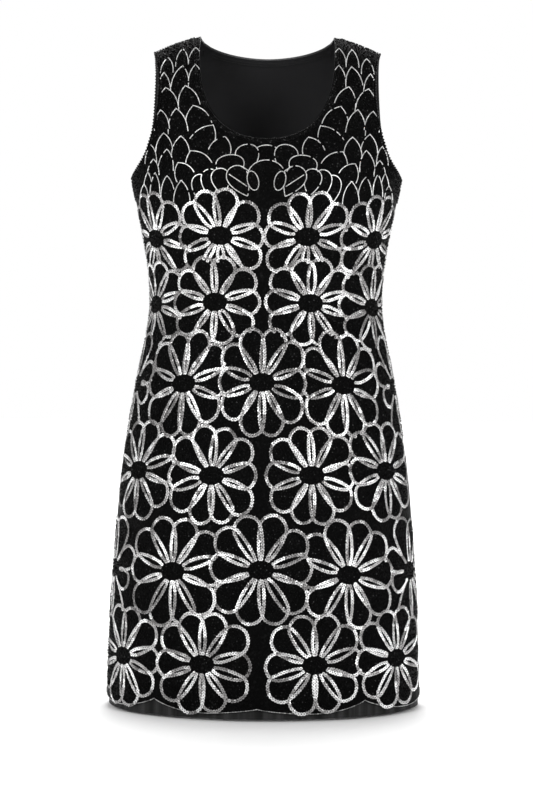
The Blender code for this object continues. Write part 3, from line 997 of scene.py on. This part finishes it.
# Silver lines of the yoke, drawn as they are seen straight on: x and drop.
# Each shape is sewn on the left and on the right, from the shoulders down, and
# covers what lies inside it. lean is how many degrees its top leans outwards.
Shape = namedtuple("Shape", "x drop half_width length lean")
SCALES = (
    Shape(0.0940, 0.0250, 0.0090, 0.024, 0),
    Shape(0.1305, 0.0375, 0.0085, 0.022, -3),
    Shape(0.1115, 0.0255, 0.0085, 0.026, 0),
    Shape(0.0935, 0.0500, 0.0090, 0.026, 0),
    Shape(0.1355, 0.0590, 0.0080, 0.026, 4),
    Shape(0.1105, 0.0510, 0.0115, 0.030, -7),
    Shape(0.1065, 0.0790, 0.0140, 0.030, 12),
    Shape(0.1325, 0.0800, 0.0135, 0.029, 8),
    Shape(0.0955, 0.1065, 0.0170, 0.030, 16),
    Shape(0.1180, 0.1095, 0.0130, 0.033, 6),
    Shape(0.1385, 0.1100, 0.0100, 0.027, 5),
    Shape(0.0690, 0.1340, 0.0160, 0.031, -33),
    Shape(0.1340, 0.1415, 0.0115, 0.027, 3),
    Shape(0.1110, 0.1470, 0.0120, 0.027, 0),
    Shape(0.0535, 0.1495, 0.0145, 0.023, -19),
    Shape(0.1505, 0.1560, 0.0080, 0.024, 0),
    Shape(0.1290, 0.1635, 0.0105, 0.029, -3),
    Shape(0.0980, 0.1675, 0.0170, 0.028, 28),
    Shape(0.1470, 0.1750, 0.0080, 0.022, 0),
    Shape(0.1140, 0.1825, 0.0125, 0.022, 28),
    Shape(0.1545, 0.1910, 0.0060, 0.026, 0),
    Shape(0.1445, 0.1935, 0.0068, 0.028, 0),
    Shape(0.1285, 0.1985, 0.0095, 0.030, 3),
    Shape(0.1095, 0.2060, 0.0110, 0.030, 2),
    Shape(0.1600, 0.2060, 0.0060, 0.020, 0),
)
ROSETTE_PETALS = (
    Shape(0.0000, 0.1610, 0.0170, 0.040, 0),
    Shape(0.0280, 0.1605, 0.0150, 0.038, 13),
    Shape(0.0475, 0.1740, 0.0180, 0.036, 4),
    Shape(0.0865, 0.1990, 0.0105, 0.038, 6),
    Shape(0.0730, 0.1925, 0.0115, 0.038, 4),
    Shape(0.0615, 0.1920, 0.0115, 0.036, 12),
)
ROSETTE_DOME = Shape(0.0000, 0.1810, 0.0240, 0.021, 0)
ROSETTE_DROP = Shape(0.0440, 0.1900, 0.0135, 0.043, 28)
ROSETTE_OVAL = Shape(0.0172, 0.2080, 0.0070, 0.0125, 15)
ROSETTE_VEIN = ((0.0480, 0.1995), (0.0245, 0.2155))
# The back's rows of scales: how many there are, how wide a scale is, the spacing of
# the rows, the drop of the first, how far out the scales reach, and how much longer
# a scale is than the spacing
BACK_ROWS, BACK_STEP, BACK_SPACING = 8, 0.0236, 0.0255
BACK_TOP_DROP, BACK_REACH, BACK_ARMHOLE_MARGIN, BACK_OVERLAP = 0.040, 0.150, 0.008, 1.05

BUGLE_PITCH, BUGLE_LIFT, BUGLE_AHEAD = 0.0036, 0.0006, 0.0006
YOKE_NECK_MARGIN, YOKE_ARMHOLE_MARGIN, YOKE_DAISY_MARGIN = 0.0085, 0.0030, 0.002
MISSING_BUGLES = 0.05
BUGLE_SIZES, BUGLE_TONES = (0.95, 1.05), (0.45, 0.95)
PETAL_RING_WIDEST = 0.77


def hands(x):
    """The left and the right, or one of them for what lies on the centre line."""
    return (-1, 1) if x else (1,)


def placed(points, shape, sign):
    """Points about a shape's top, leaned and put in their place on one side."""
    lean = math.radians(shape.lean)
    c, s = math.cos(lean), math.sin(lean)
    return (points @ np.array([[c, s], [-s, c]]) + (shape.x, shape.drop)) * (sign, 1.0)


def scale_outline(shape, sign):
    """A pointed arch, open below."""
    t = np.linspace(0.0, 1.0, 24)
    across = shape.half_width * np.sin(t * math.pi / 2)
    down = shape.length * (0.5 * t + 0.5 * t * t)
    right = np.stack([across, down], axis=1)
    return placed(np.concatenate([right[::-1], (right * (-1.0, 1.0))[1:]]), shape, sign)


def petal_ring(shape, sign):
    """A closed petal, round at its top and narrowing to a tip."""
    t = np.linspace(0.0, 2 * math.pi, 80)
    across = shape.half_width / PETAL_RING_WIDEST * np.sin(t) * np.sin(t / 2)
    return placed(np.stack([across, shape.length / 2 * (1.0 + np.cos(t))], axis=1), shape, sign)


def dome(shape):
    """A wide round arch on the centre line, open below."""
    t = np.linspace(-1.0, 1.0, 40) * math.pi / 2
    arch = np.stack([shape.half_width * np.sin(t), shape.length * (1 - np.cos(t))], axis=1)
    return placed(arch, shape, 1)


def oval(shape, sign):
    """An oval about the shape's place."""
    t = np.linspace(0.0, 2 * math.pi, 60)
    ring = np.stack([shape.half_width * np.sin(t), shape.length * np.cos(t)], axis=1)
    return placed(ring, shape, sign)


def front_yoke():
    """Scales down the straps and the sides, then the rosettes under the neck."""
    for shape in SCALES:
        for sign in hands(shape.x):
            yield scale_outline(shape, sign)
    for shape in ROSETTE_PETALS:
        for sign in hands(shape.x):
            yield petal_ring(shape, sign)
    yield dome(ROSETTE_DOME)
    for sign in (-1, 1):
        yield petal_ring(ROSETTE_DROP, sign)
        yield np.linspace(*ROSETTE_VEIN, 12) * (sign, 1.0)
        yield oval(ROSETTE_OVAL, sign)


def back_yoke():
    """Staggered rows of scales from the shoulders down to the first daisies."""
    for row in range(BACK_ROWS):
        drop = BACK_TOP_DROP + BACK_SPACING * row
        armhole = float(armhole_half_width(BACK, np.array(drop)))
        outer = min(BACK_REACH, armhole - BACK_ARMHOLE_MARGIN)
        for x in np.arange((row % 2) * BACK_STEP / 2, outer, BACK_STEP):
            shape = Shape(x, drop, BACK_STEP / 2, BACK_SPACING * BACK_OVERLAP, 0)
            for sign in hands(x):
                yield scale_outline(shape, sign)


def within(outline, points):
    """Which points lie inside an outline, closed from its end to its start."""
    x, y = points[:, :1], points[:, 1:]
    a, b = outline, np.roll(outline, -1, axis=0)
    crosses = (a[:, 1] > y) != (b[:, 1] > y)
    at = a[:, 0] + (y - a[:, 1]) / (b[:, 1] - a[:, 1] + 1e-12) * (b[:, 0] - a[:, 0])
    return (crosses & (x < at)).sum(axis=1) % 2 == 1


def string_beads(side, curve, pitch, lift):
    """Places of beads along a line that is drawn as it is seen straight on."""
    across, level = FORM.seen_at(side, curve[:, 0], curve[:, 1])
    points = FORM.point(side, across, level)
    lengths = lengths_along(points)
    at = even_places(lengths, max(1, int(round(lengths[-1] / pitch))))
    along = read_at(lengths, points, at + BUGLE_AHEAD) - read_at(lengths, points, at - BUGLE_AHEAD)
    across, level = np.interp(at, lengths, across), np.interp(at, lengths, level)
    return across, level, along, np.full(len(at), lift)


def on_panel(side, across, level, neck_margin, margin):
    """Whether a place is on the cloth, so far from its neck and from its armholes."""
    point = FORM.point(side, across, level)
    drop = NECK_POINT_HEIGHT - point[..., 2]
    x = np.abs(point[..., 0])
    neck = x > neck_half_width(side, drop) + neck_margin
    neck |= drop > neck_drop(side, x) + neck_margin
    armhole = (x < armhole_half_width(side, drop) - margin) | (drop > UNDERARM_DROP)
    return neck & armhole & (level < 1.0 - margin / FORM.length)


def sew_silver_lines(side, daisies):
    """The yoke's bugles. A later line hides what it covers."""
    sewn = []
    for curve in front_yoke() if side == FRONT else back_yoke():
        strand = string_beads(side, curve, BUGLE_PITCH, BUGLE_LIFT)
        across, level = strand[:2]
        keep = on_panel(side, across, level, YOKE_NECK_MARGIN, YOKE_ARMHOLE_MARGIN)
        for daisy in daisies:
            if daisy.row < 2:
                keep &= ~inside_daisy(daisy, across, level, -YOKE_DAISY_MARGIN)
        keep &= rng.random(len(across)) > MISSING_BUGLES
        point = FORM.point(side, across, level)
        seen = np.stack([point[:, 0], NECK_POINT_HEIGHT - point[:, 2]], axis=1)
        for _, earlier_seen, earlier_keep in sewn:
            earlier_keep &= ~within(curve, earlier_seen)
        sewn.append((strand, seen, keep))
    parts = [[item[keep] for item in strand] for strand, _, keep in sewn if keep.sum() > 1]
    across, level, along, lift = join(parts)
    origin, axes = frames_at(side, across, level, lift, along)
    count = len(origin)
    places = (origin, axes, rng.uniform(*BUGLE_SIZES, count), rng.uniform(*BUGLE_TONES, count))
    name = f"{CUTS[side].label}_yoke_bugles"
    stamp(name, BUGLE, places, SILVER_BEAD, smooth_angle=50)
    return origin


HEM_LINE_REACH, HEM_LINE_POINTS = 0.997, 1400
HEM_LINE_RISE, HEM_BUGLE_SIZE, HEM_BUGLE_TONES = 0.0012, 0.85, (0.0, 0.6)


def sew_hem_line(side):
    """Small greyed bugles along the scallops."""
    across = np.linspace(-HEM_LINE_REACH, HEM_LINE_REACH, HEM_LINE_POINTS)
    level = FORM.level_of_drop(scallop_drop(across) - HEM_LINE_RISE)
    points = FORM.point(side, across, level)
    lengths = lengths_along(points)
    count = int(lengths[-1] / BUGLE_LENGTH)
    at = even_places(lengths, count)
    across, level = np.interp(at, lengths, across), np.interp(at, lengths, level)
    along = read_at(lengths, points, at + 2 * STEP_AHEAD) - FORM.point(side, across, level)
    origin, axes = frames_at(side, across, level, np.full(count, BUGLE_LIFT), along)
    places = (origin, axes, np.full(count, HEM_BUGLE_SIZE), rng.uniform(*HEM_BUGLE_TONES, count))
    name = f"{CUTS[side].label}_hem_bugles"
    stamp(name, BUGLE, places, SILVER_BEAD, smooth_angle=50)


# Black beads
GROUND_PITCH = 0.0040
GROUND_SPREAD = 0.35
GROUND_LIFT = 0.0004
GROUND_SIZES = (0.0017, 0.0027)
GROUND_NECK_MARGIN, GROUND_ARMHOLE_MARGIN = 0.0075, 0.0060
GROUND_HEM_MARGIN, GROUND_SEAM_MARGIN, GROUND_PETAL_MARGIN = 0.002, 0.0015, 0.003
YOKE_END_DROP = 0.222
CLEAR_OF_SILVER = 0.0021


def bead_grid(side):
    """Staggered rows of places all over a panel, each place moved a little."""
    rows = int(FORM.length / GROUND_PITCH)
    parts = []
    for row in range(rows):
        level = (row + 0.5) / rows
        count = int(2 * float(FORM.quarter_length(side, level)) / GROUND_PITCH)
        if count > 1:
            across = (np.arange(count) + 0.5 * (row % 2) + 0.25) / count * 2 - 1
            parts.append((across, np.full(count, level)))
    across, level = join(parts)
    count = len(across)
    quarter = FORM.quarter_length(side, level)
    across = across + rng.uniform(-GROUND_SPREAD, GROUND_SPREAD, count) * GROUND_PITCH / quarter
    level = level + rng.uniform(-GROUND_SPREAD, GROUND_SPREAD, count) * GROUND_PITCH / FORM.length
    return across, level, quarter


def clear_of(silver, points):
    """Which points lie clear of the sequins and bugles."""
    found = kdtree.KDTree(len(silver))
    for i, point in enumerate(silver):
        found.insert(point, i)
    found.balance()
    return np.array([found.find(point)[2] > CLEAR_OF_SILVER for point in points])


def sew_bead_ground(side, daisies, silver):
    """Black beads that fill the petals, the hearts of the daisies and the yoke."""
    across, level, quarter = bead_grid(side)
    hem = FORM.level_of_drop(scallop_drop(across)) + GROUND_HEM_MARGIN / FORM.length
    keep = on_panel(side, across, level, GROUND_NECK_MARGIN, GROUND_ARMHOLE_MARGIN)
    keep &= (level > hem) & (np.abs(across) < 1.0 - GROUND_SEAM_MARGIN / quarter)
    filled = level > FORM.level_of_drop(YOKE_END_DROP)
    for daisy in daisies:
        filled |= inside_daisy(daisy, across, level, GROUND_PETAL_MARGIN)
    keep &= filled
    across, level = across[keep], level[keep]
    points = FORM.point(side, across, level) + FORM.normal(side, across, level) * BUGLE_LIFT
    clear = clear_of(silver, points)
    across, level = across[clear], level[clear]
    count = len(across)
    along = rng.normal(size=(count, 3))
    origin, axes = frames_at(side, across, level, np.full(count, GROUND_LIFT), along)
    places = (origin, axes, rng.uniform(*GROUND_SIZES, count), rng.random(count))
    for half, chosen in (("left", origin[:, 0] < 0), ("right", origin[:, 0] >= 0)):
        name = f"{CUTS[side].label}_bead_ground_{half}"
        stamp(name, CUT_BEAD, [item[chosen] for item in places], BLACK_BEAD)


def edge_curves(side):
    """The neck's edge and an armhole's, as x and drop."""
    x = NECK_HALF_WIDTH * np.sin(np.linspace(-1.0, 1.0, 400) * math.pi / 2)
    drops = np.linspace(SHOULDER_FALL, UNDERARM_DROP, 120)
    neck = np.stack([x, neck_drop(side, x)], axis=1)
    return neck, np.stack([armhole_half_width(side, drops), drops], axis=1)


def offset_curve(curve, distance):
    """A curve moved sideways, away from the hole that it borders."""
    forward = unit(np.gradient(curve, axis=0))
    return curve + np.stack([-forward[:, 1], forward[:, 0]], axis=1) * distance


NECK_BEAD_ROWS, NECK_BEAD_SIZE, NECK_BEAD_LIFT = (0.0018, 0.0040, 0.0062), 0.0023, 0.0003
NECK_POINT_MARGIN = 0.003
EDGE_BEAD_SIZES = (0.9, 1.1)
ARMHOLE_START, LINING_ARMHOLE_START = 0.0006, 0.0034
ARMHOLE_ROWS = ((0.0, 0.0034), (0.0034, 0.0026))
ARMHOLE_BEAD_PITCH, ARMHOLE_BEAD_LIFT = 1.25, 0.0004


def sew_black_edges(side):
    """Three rows of round beads along the neck, and two along each armhole, where
    each row has its distance from the edge and its size of bead."""
    neck, armhole = edge_curves(side)
    strings, sizes = [], []
    for distance in NECK_BEAD_ROWS:
        curve = offset_curve(neck, distance)
        curve = curve[curve[:, 1] > NECK_POINT_MARGIN]
        strings.append(string_beads(side, curve, NECK_BEAD_SIZE, NECK_BEAD_LIFT))
        sizes.append(NECK_BEAD_SIZE)
    for sign in (-1, 1):
        # The right armhole of the back shows its smooth lining past the front.
        start = LINING_ARMHOLE_START if side == BACK and sign == 1 else ARMHOLE_START
        for distance, size in ARMHOLE_ROWS:
            curve = (armhole - (start + distance, 0.0)) * (sign, 1.0)
            strings.append(string_beads(side, curve, size * ARMHOLE_BEAD_PITCH, ARMHOLE_BEAD_LIFT))
            sizes.append(size)
    across, level, along, lift = join(strings)
    size = np.repeat(sizes, [len(string[0]) for string in strings])
    origin, axes = frames_at(side, across, level, lift, along)
    count = len(origin)
    places = (origin, axes, size * rng.uniform(*EDGE_BEAD_SIZES, count), rng.random(count))
    name = f"{CUTS[side].label}_edge_beads"
    stamp(name, ROUND_BEAD, places, BLACK_BEAD, smooth_angle=60)


STITCH_ROWS = (0.0042, 0.0072)
STITCH_PITCH, STITCH_SIZE, STITCH_REACH = 0.0022, 0.45, 0.078


def sew_facing_stitches():
    """Two rows of thread that hold the facing, seen inside the back of the neck."""
    neck = edge_curves(BACK)[0]
    inside = SHELL_WALL + LINING_WALL + FACING_WALL + 2 * SEAM_GAP
    strings = [string_beads(BACK, offset_curve(neck, at), STITCH_PITCH, -inside) for at in STITCH_ROWS]
    across, level, along, lift = join(strings)
    keep = np.abs(FORM.point(BACK, across, level)[:, 0]) < STITCH_REACH
    origin, axes = frames_at(BACK, across[keep], level[keep], lift[keep], along[keep])
    count = len(origin)
    places = (origin, axes, np.full(count, STITCH_SIZE), np.ones(count))
    stamp("back_neck_stitches", BUGLE, places, THREAD, smooth_angle=50)


for side in (FRONT, BACK):
    daisies, sequins = sew_daisies(side)
    silver = sew_silver_lines(side, daisies)
    sew_hem_line(side)
    sew_bead_ground(side, daisies, np.concatenate([sequins, silver]))
    sew_black_edges(side)
sew_facing_stitches()


# Floor, light and camera
FLOOR_HEIGHT = NECK_POINT_HEIGHT - LINING_HEM_DROP - 0.003
# The floor glows evenly far from the dress and less near it. The dimmer glow is a painted shadow under
# the hem, dark close by and dying away soon. Distances are those of an oval like the hem.
HEM_DEPTH_TO_WIDTH = 0.62
NEAR_FLOOR, FAR_FLOOR = 0.13, 2.5
FLOOR_GLOW_AND_PAINTED_SHADOW = [(0.0, 0.02), (0.035, 0.20), (0.12, 0.26), (1.0, 0.80)]


def stage_material():
    """White paper that glows by how far it lies from the dress, with a painted shadow where it glows less
    near the dress.
    """
    material, tree, shader = new_material("white_floor_with_painted_shadow", roughness=0.9)
    shader.inputs["Base Color"].default_value = (0.95, 0.95, 0.95, 1.0)
    where = node(tree, "ShaderNodeTexCoord").outputs["Object"]
    shrunk = node(tree, "ShaderNodeVectorMath", operation="MULTIPLY")
    shrunk.inputs[1].default_value = (HEM_DEPTH_TO_WIDTH, 1.0, 1.0)
    tree.links.new(where, shrunk.inputs[0])
    distance = node(tree, "ShaderNodeVectorMath", operation="LENGTH")
    tree.links.new(shrunk.outputs["Vector"], distance.inputs[0])
    far = node(tree, "ShaderNodeMapRange")
    far.inputs["From Min"].default_value = NEAR_FLOOR
    far.inputs["From Max"].default_value = FAR_FLOOR
    tree.links.new(distance.outputs["Value"], far.inputs["Value"])
    ramp(tree, far.outputs["Result"], FLOOR_GLOW_AND_PAINTED_SHADOW, shader.inputs["Emission Color"])
    shader.inputs["Emission Strength"].default_value = 1.0
    return material


bpy.ops.mesh.primitive_plane_add(size=60.0, location=(0.0, 0.0, FLOOR_HEIGHT))
floor = bpy.context.active_object
floor.name = "studio_floor"
floor.data.materials.append(stage_material())

Softbox = namedtuple("Softbox", "name place aim size power")
SOFTBOXES = (
    Softbox("key_softbox", (-1.7, -2.4, 0.9), (0.0, 0.0, -0.45), 1.2, 34.0),
    Softbox("fill_softbox", (1.9, -2.3, 0.5), (0.0, 0.0, -0.45), 1.2, 26.0),
    Softbox("top_softbox", (0.0, 1.0, 2.2), (0.0, 0.0, -0.4), 1.6, 60.0),
    Softbox("rear_softbox", (0.0, 2.6, 0.9), (0.0, 0.0, -0.4), 1.6, 34.0),
)
for box in SOFTBOXES:
    data = bpy.data.lights.new(box.name, "AREA")
    data.shape, data.size, data.energy = "DISK", box.size, box.power
    light = bpy.data.objects.new(box.name, data)
    bpy.context.scene.collection.objects.link(light)
    light.location = box.place
    towards = Vector(box.aim) - Vector(box.place)
    light.rotation_euler = towards.to_track_quat("-Z", "Y").to_euler()


def light_room(world):
    """The room is white where the camera looks at it. Its light on the dress is
    dimmer in front, where a studio is dark, so that foil and glass keep contrast."""
    world.use_nodes = True
    tree = world.node_tree
    direction = node(tree, "ShaderNodeTexCoord").outputs["Generated"]
    parts = node(tree, "ShaderNodeSeparateXYZ")
    tree.links.new(direction, parts.inputs["Vector"])
    depth = node(tree, "ShaderNodeMapRange")
    depth.inputs["From Min"].default_value = -1.0
    tree.links.new(parts.outputs["Y"], depth.inputs["Value"])
    room = ramp(tree, depth.outputs["Result"], [(0.0, 0.16), (0.2, 0.30), (0.5, 0.75), (1.0, 0.75)])
    camera_ray = node(tree, "ShaderNodeLightPath").outputs["Is Camera Ray"]
    mixed(tree, camera_ray, room, (1.0, 1.0, 1.0, 1.0), tree.nodes["Background"].inputs["Color"])


bpy.context.scene.world = bpy.data.worlds.new("white_room")
light_room(bpy.context.scene.world)

CAMERA_PLACE = (0.0019, -2.25, -0.475)
CAMERA_LEAN = math.radians(-0.38)
camera_data = bpy.data.cameras.new("photo_camera")
camera_data.sensor_fit = "VERTICAL"
camera_data.sensor_height = 24.0
camera_data.lens = 50.2
camera = bpy.data.objects.new("photo_camera", camera_data)
bpy.context.scene.collection.objects.link(camera)
camera.location = CAMERA_PLACE
camera.rotation_euler = (math.pi / 2, CAMERA_LEAN, 0.0)
bpy.context.scene.camera = camera
bpy.context.scene.view_settings.view_transform = "Standard"
